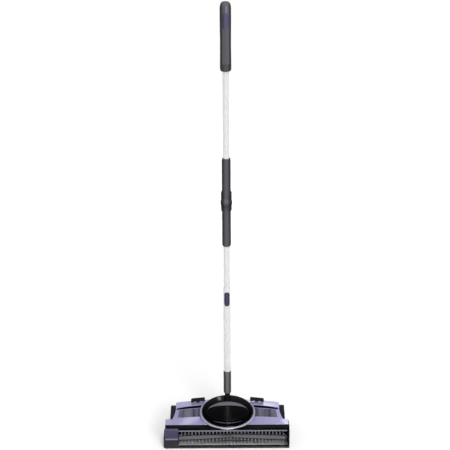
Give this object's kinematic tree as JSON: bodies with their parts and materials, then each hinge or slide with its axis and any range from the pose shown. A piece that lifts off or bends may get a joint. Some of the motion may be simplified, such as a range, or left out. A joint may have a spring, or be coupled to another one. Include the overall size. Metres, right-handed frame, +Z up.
{
  "type": "cordless carpet sweeper",
  "caption": "Carpet sweeper with a belt-driven brush behind a clear window, a dust bay, foot pedals and a folding tube handle that tilts.",
  "frame": {"origin": "on the floor, under the middle of the head's outline", "axes": "+Z up along the handle, +Y from the head's front to its rear, +X to the right seen from the front"},
  "size_m": [0.34, 0.2, 1.194],
  "materials": {
    "black_plastic": "satin",
    "dark_plastic": "satin",
    "lavender": "gloss, slightly metallic",
    "purple": "gloss",
    "clear_window": "clear, polished",
    "smoke_window": "smoked, polished",
    "gloss_black": "high gloss",
    "silver_trim": "metallic paint",
    "steel": "bright",
    "tube": "satin",
    "grip": "fine texture",
    "rubber": "matt",
    "tyre": "matt",
    "core": "satin",
    "bristle": "fine strands",
    "battery_wrap": "shrink wrap"
  },
  "bodies": {
    "head": {"chassis": "black_plastic", "front_window": "clear_window", "drive_cover": "purple", "front_lip": "black_plastic", "deck_cover": "lavender", "rear_cover": "black_plastic", "dome": "gloss_black", "dome_plate": "gloss_black", "dome_trim": "silver_trim", "dust_window_left": "smoke_window", "dust_window_right": "smoke_window", "side_cover_left": "black_plastic", "side_cover_right": "black_plastic", "cover_screw_1": "steel", "cover_screw_2": "steel", "cover_screw_3": "steel", "cover_screw_4": "steel", "motor": "steel", "drive_belt": "rubber", "battery_pack": "battery_wrap", "power_switch": "dark_plastic", "charge_socket": "black_plastic", "brush_bush_left": "steel", "brush_bush_right": "steel", "rear_axle_left": "steel", "rear_axle_right": "steel", "pedal_spring_left": "steel", "pedal_spring_right": "steel", "floor_wiper": "rubber", "neck_pin": "steel"},
    "handle_lower": {"neck_yoke": "black_plastic", "neck_socket": "dark_plastic", "lower_tube": "tube", "middle_tube": "tube", "lower_fold_socket": "dark_plastic", "fold_pin": "steel"},
    "handle_upper": {"upper_fold_socket": "dark_plastic", "upper_tube": "tube", "grip": "grip", "grip_pad": "purple", "grip_cap": "grip"},
    "release": {"release_button": "purple"},
    "fold_release": {"fold_button": "black_plastic"},
    "brush": {"brush_core": "core", "brush_tufts_1": "bristle", "brush_tufts_2": "bristle", "brush_tufts_3": "bristle", "brush_tufts_4": "bristle", "brush_pulley": "dark_plastic"},
    "motor_rotor": {"motor_pulley": "dark_plastic"},
    "wheel_left": {"rear_wheel_left": "dark_plastic", "rear_tyre_left": "tyre"},
    "wheel_right": {"rear_wheel_right": "dark_plastic", "rear_tyre_right": "tyre"},
    "roller_left": {"front_roller_left": "dark_plastic"},
    "roller_right": {"front_roller_right": "dark_plastic"},
    "pedal_left": {"power_pedal": "black_plastic"},
    "pedal_right": {"bin_pedal": "black_plastic"},
    "latch": {"bin_latch": "dark_plastic"},
    "door": {"bin_door": "dark_plastic"}
  },
  "joints": [
    {"name": "handle_tilt", "type": "hinge", "parent": "head", "child": "handle_lower", "pos_m": [0.003, 0.062, 0.04], "axis": [-1, 0, 0], "range_deg": [0, 75]},
    {"name": "handle_fold", "type": "hinge", "parent": "handle_lower", "child": "handle_upper", "pos_m": [0.003, 0.049, 0.652], "axis": [1, 0, 0], "range_deg": [0, 174]},
    {"name": "tube_release", "type": "slide", "parent": "handle_lower", "child": "release", "axis": [0, 1, 0], "range_m": [0, 0.002], "stiffness_N_per_m": 500, "springref_m": -0.003},
    {"name": "fold_release_press", "type": "slide", "parent": "handle_lower", "child": "fold_release", "axis": [0, -1, 0], "range_m": [0, 0.0025], "stiffness_N_per_m": 500, "springref_m": -0.003},
    {"name": "brush_spin", "type": "hinge", "parent": "head", "child": "brush", "pos_m": [0.003, -0.075, 0.0205], "axis": [1, 0, 0], "continuous": true},
    {"name": "motor_spin", "type": "hinge", "parent": "head", "child": "motor_rotor", "pos_m": [-0.14475, 0.0374, 0.025], "axis": [1, 0, 0], "continuous": true},
    {"name": "wheel_left_roll", "type": "hinge", "parent": "head", "child": "wheel_left", "pos_m": [-0.1275, 0.0729, 0.017], "axis": [1, 0, 0], "continuous": true},
    {"name": "wheel_right_roll", "type": "hinge", "parent": "head", "child": "wheel_right", "pos_m": [0.1335, 0.0729, 0.017], "axis": [1, 0, 0], "continuous": true},
    {"name": "roller_left_roll", "type": "hinge", "parent": "head", "child": "roller_left", "pos_m": [-0.1458, -0.01, 0.0055], "axis": [1, 0, 0], "continuous": true},
    {"name": "roller_right_roll", "type": "hinge", "parent": "head", "child": "roller_right", "pos_m": [0.1518, -0.01, 0.0055], "axis": [1, 0, 0], "continuous": true},
    {"name": "power_press", "type": "slide", "parent": "head", "child": "pedal_left", "axis": [0, 0, -1], "range_m": [0, 0.003], "stiffness_N_per_m": 800, "springref_m": -0.004, "deforming": ["pedal_spring_left"]},
    {"name": "bin_press", "type": "slide", "parent": "head", "child": "pedal_right", "axis": [0, 0, -1], "range_m": [0, 0.003], "stiffness_N_per_m": 800, "springref_m": -0.004, "deforming": ["pedal_spring_right"]},
    {"name": "latch_slide", "type": "slide", "parent": "head", "child": "latch", "axis": [0, 1, 0], "range_m": [0, 0.003]},
    {"name": "door_swing", "type": "hinge", "parent": "head", "child": "door", "pos_m": [0.003, -0.0334, 0.0046], "axis": [-1, 0, 0], "range_deg": [0, 80]}
  ],
  "couplings": [
    {"joint": "motor_spin", "follows": "brush_spin", "ratio": 1.7},
    {"joint": "latch_slide", "follows": "bin_press", "ratio": 1}
  ]
}
